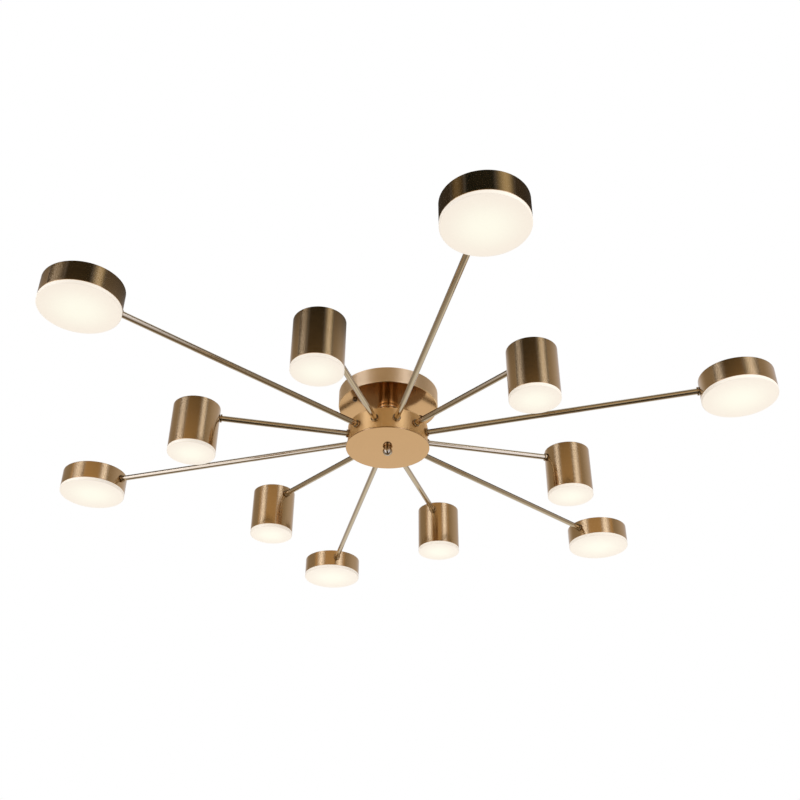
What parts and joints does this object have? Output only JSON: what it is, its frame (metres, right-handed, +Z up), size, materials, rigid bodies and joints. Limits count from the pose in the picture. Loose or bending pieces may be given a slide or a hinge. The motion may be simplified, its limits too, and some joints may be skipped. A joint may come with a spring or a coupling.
{
  "type": "multi arm chandelier",
  "caption": "Semi-flush ceiling light: straight arms radiate from a round brass hub on a short stem and carry flat disc heads and taller cylinder heads with opal diffusers.",
  "frame": {"origin": "middle of the ceiling plane, on the axis of the hub and the centre rod; the light hangs below z = 0", "axes": "+Z up, away from the room and into the ceiling; the first long arm points along -Y, and the arms follow every 30 degrees"},
  "size_m": [1.0536, 1.2, 0.1528],
  "materials": {
    "satin_brass": "satin brass plating, brushed round on the canopy, hub and cover",
    "shade_brass": "antique brass plating, finely brushed round the shade",
    "arm_tube": "satin champagne brass plating",
    "screw_brass": "dark brass plating",
    "polished_nickel": "polished plating",
    "zinc_steel": "zinc-plated steel",
    "opal_diffuser": "opal acrylic with a satin surface, lit from inside",
    "led_board": "white solder mask",
    "driver_housing": "matte white housing"
  },
  "bodies": {
    "light": {"canopy": "satin_brass", "canopy_screw_left": "screw_brass", "canopy_screw_right": "screw_brass", "mounting_crossbar": "zinc_steel", "led_driver": "driver_housing", "stem_collar": "satin_brass", "stem_tube": "satin_brass", "centre_rod": "zinc_steel", "hub_drum": "satin_brass", "hub_lock_nut": "zinc_steel", "hub_cover": "satin_brass", "long_arm_1": "arm_tube", "disc_shade_1": "shade_brass", "disc_led_board_1": "led_board", "disc_diffuser_1": "opal_diffuser", "long_arm_2": "arm_tube", "disc_shade_2": "shade_brass", "disc_led_board_2": "led_board", "disc_diffuser_2": "opal_diffuser", "long_arm_3": "arm_tube", "disc_shade_3": "shade_brass", "disc_led_board_3": "led_board", "disc_diffuser_3": "opal_diffuser", "long_arm_4": "arm_tube", "disc_shade_4": "shade_brass", "disc_led_board_4": "led_board", "disc_diffuser_4": "opal_diffuser", "long_arm_5": "arm_tube", "disc_shade_5": "shade_brass", "disc_led_board_5": "led_board", "disc_diffuser_5": "opal_diffuser", "long_arm_6": "arm_tube", "disc_shade_6": "shade_brass", "disc_led_board_6": "led_board", "disc_diffuser_6": "opal_diffuser", "short_arm_1": "arm_tube", "cylinder_shade_1": "shade_brass", "cylinder_led_board_1": "led_board", "cylinder_diffuser_1": "opal_diffuser", "short_arm_2": "arm_tube", "cylinder_shade_2": "shade_brass", "cylinder_led_board_2": "led_board", "cylinder_diffuser_2": "opal_diffuser", "short_arm_3": "arm_tube", "cylinder_shade_3": "shade_brass", "cylinder_led_board_3": "led_board", "cylinder_diffuser_3": "opal_diffuser", "short_arm_4": "arm_tube", "cylinder_shade_4": "shade_brass", "cylinder_led_board_4": "led_board", "cylinder_diffuser_4": "opal_diffuser", "short_arm_5": "arm_tube", "cylinder_shade_5": "shade_brass", "cylinder_led_board_5": "led_board", "cylinder_diffuser_5": "opal_diffuser", "short_arm_6": "arm_tube", "cylinder_shade_6": "shade_brass", "cylinder_led_board_6": "led_board", "cylinder_diffuser_6": "opal_diffuser"},
    "finial": {"finial_nut": "polished_nickel"}
  },
  "joints": [
    {"name": "finial_turn", "type": "hinge", "parent": "light", "child": "finial", "pos_m": [0, 0, -0.1036], "axis": [0, 0, 1], "continuous": true}
  ]
}
